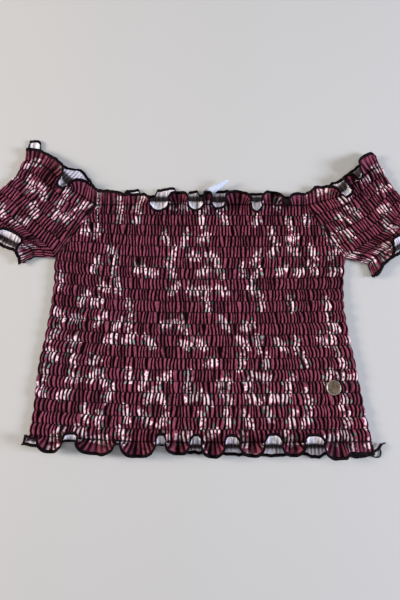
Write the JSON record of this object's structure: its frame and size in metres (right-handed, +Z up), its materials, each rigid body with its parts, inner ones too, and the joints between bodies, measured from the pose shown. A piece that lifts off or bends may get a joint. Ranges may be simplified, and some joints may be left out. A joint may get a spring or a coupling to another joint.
{
  "type": "off-shoulder shirred top",
  "caption": "Cropped off-shoulder top of shirred printed cloth with ruffled neck, hem and cuffs, lying flat, with a plain round metal disc on the front.",
  "frame": {"origin": "on the surface that the top lies on, under the middle of the body, half way between its first and last elastic rows", "axes": "+X to the right of the picture, which is the wearer's left, +Y towards the neck, +Z up off the surface"},
  "size_m": [0.4158, 0.2795, 0.016],
  "materials": {
    "shirred_print": "burgundy cotton with a small pink and sage flower print, matt",
    "antique_brass": "antique brass, satin",
    "label_satin": "pale woven satin"
  },
  "bodies": {
    "root": {"body_front": "shirred_print", "body_back": "shirred_print", "sleeve_left": "shirred_print", "sleeve_right": "shirred_print", "badge": "antique_brass", "neck_label": "label_satin"}
  },
  "joints": []
}
